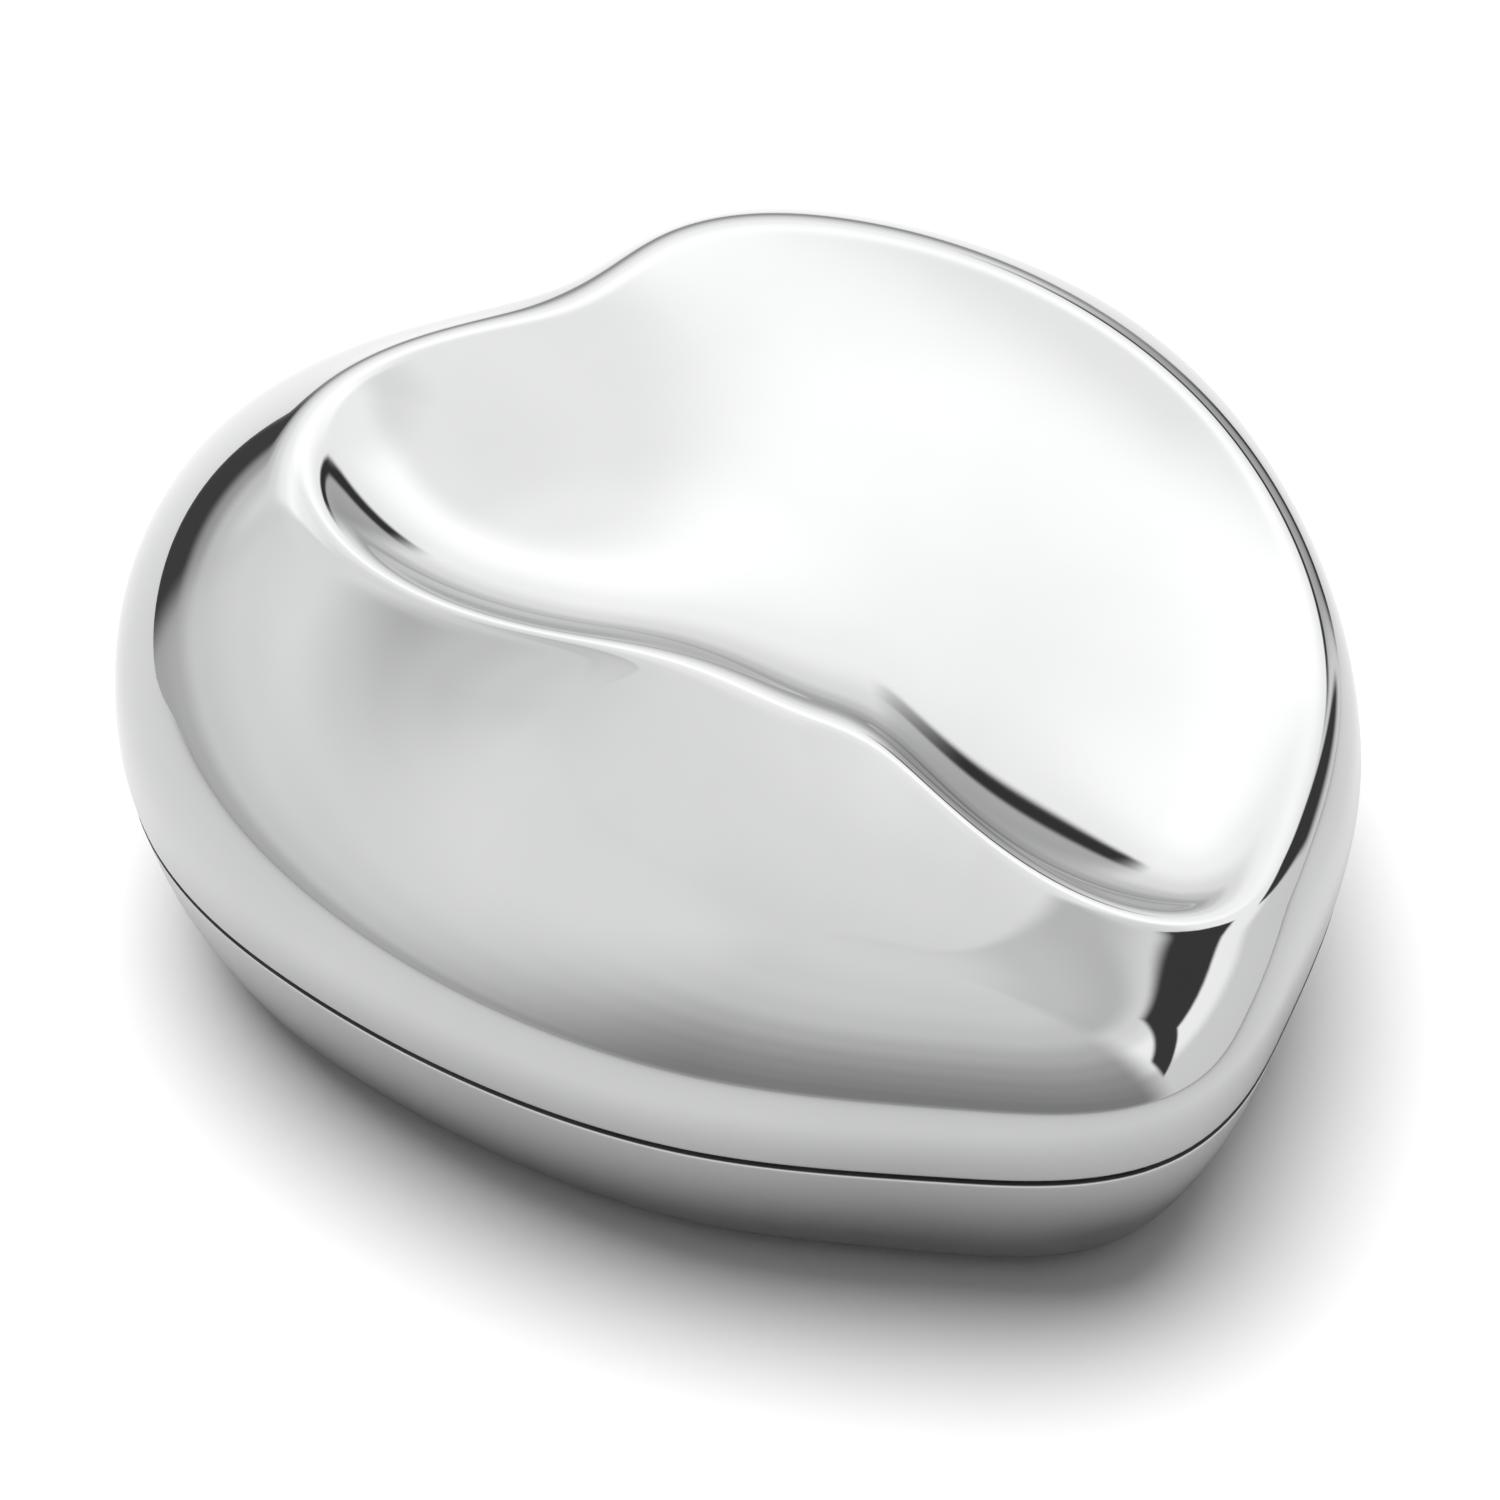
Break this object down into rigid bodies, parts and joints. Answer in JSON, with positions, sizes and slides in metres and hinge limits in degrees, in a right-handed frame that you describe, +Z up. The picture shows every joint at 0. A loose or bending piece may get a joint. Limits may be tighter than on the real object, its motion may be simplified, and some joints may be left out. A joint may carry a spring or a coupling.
{
  "type": "heart-shaped trinket box",
  "caption": "Heart-shaped trinket box with a dished lift-off lid, a level joint line and a padded lining, standing free on small feet.",
  "frame": {"origin": "on the table plane under the feet, under the middle of the box's plan outline", "axes": "+Z up, the way the lid lifts; -Y towards the point of the heart, +Y towards the notch; the plan outline is mirror symmetric about the YZ plane, the dished top is not"},
  "size_m": [0.1228, 0.1294, 0.0567],
  "materials": {
    "polished_steel": "mirror polished stainless steel",
    "satin_steel": "satin inner pressings",
    "felt_lining": "short-pile flocked felt",
    "lining_board": "uncoated stiffener board",
    "clear_silicone": "soft translucent silicone"
  },
  "bodies": {
    "base": {"base_shell": "polished_steel", "base_inner_tray": "satin_steel", "locating_collar": "satin_steel", "base_lining_board": "lining_board", "base_side_lining": "felt_lining", "base_floor_cushion": "felt_lining", "foot_front_left": "clear_silicone", "foot_front_right": "clear_silicone", "foot_rear_left": "clear_silicone", "foot_rear_right": "clear_silicone", "rest_bumper_front_left": "clear_silicone", "rest_bumper_front_right": "clear_silicone", "rest_bumper_rear_left": "clear_silicone", "rest_bumper_rear_right": "clear_silicone"},
    "lid": {"lid_shell": "polished_steel", "lid_inner_pan": "satin_steel", "lid_lining_board": "lining_board", "lid_side_lining": "felt_lining", "lid_ceiling_pad": "felt_lining"}
  },
  "joints": [
    {"name": "lid_lift", "type": "slide", "parent": "base", "child": "lid", "axis": [0, 0, 1], "range_m": [0, 0.08]}
  ]
}
